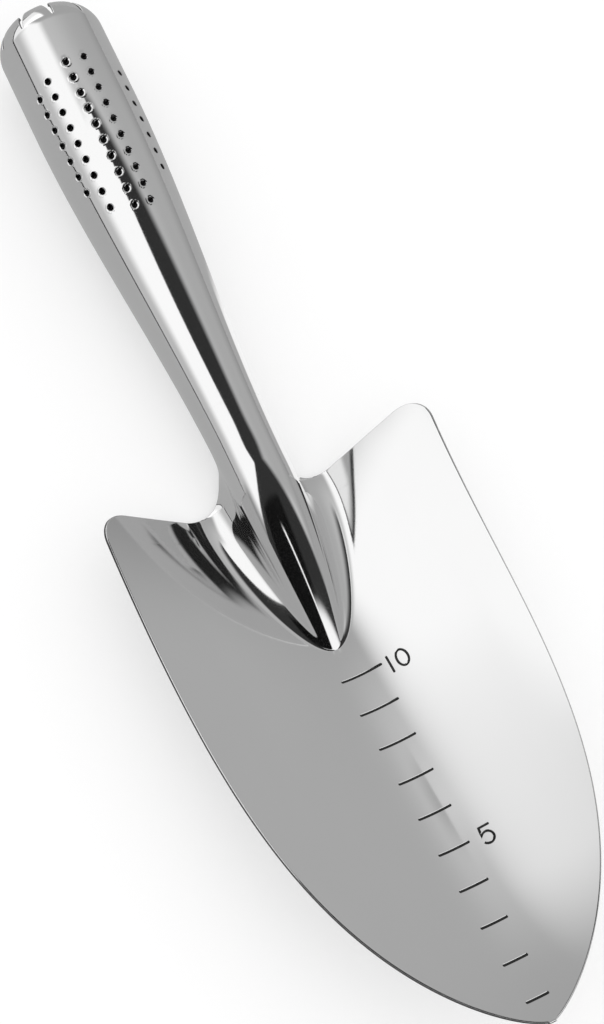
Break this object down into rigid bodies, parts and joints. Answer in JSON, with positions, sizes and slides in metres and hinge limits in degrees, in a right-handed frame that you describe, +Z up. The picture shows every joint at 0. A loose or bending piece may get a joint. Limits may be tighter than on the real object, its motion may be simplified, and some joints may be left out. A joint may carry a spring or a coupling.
{
  "type": "hand transplanter",
  "caption": "All-stainless hand trowel for transplanting: pressed scoop blade with a raised tongue and stamped depth scale, on a hollow dimpled tube handle.",
  "frame": {"origin": "on the ground, under the middle of the tool's bounding box, with the tool lying hollow side up", "axes": "+X to the tool's right seen from above, +Y from the blade's tip to the handle's end, +Z up out of the blade's hollow side"},
  "size_m": [0.0896, 0.2914, 0.0304],
  "materials": {
    "blade_steel": "polished stainless sheet, slightly satin",
    "handle_steel": "mirror-polished stainless sheet",
    "weld_steel": "ground and polished weld bead",
    "scale_ink": "matte black filling ink"
  },
  "bodies": {
    "root": {"blade": "blade_steel", "handle_tube": "handle_steel", "neck_weld": "weld_steel", "handle_seam_weld": "weld_steel", "depth_mark_01": "scale_ink", "depth_mark_02": "scale_ink", "depth_mark_03": "scale_ink", "depth_mark_04": "scale_ink", "depth_mark_05": "scale_ink", "depth_mark_06": "scale_ink", "depth_mark_07": "scale_ink", "depth_mark_08": "scale_ink", "depth_mark_09": "scale_ink", "depth_mark_10": "scale_ink", "numeral_10_one": "scale_ink", "numeral_10_zero": "scale_ink", "numeral_5": "scale_ink"}
  },
  "joints": []
}
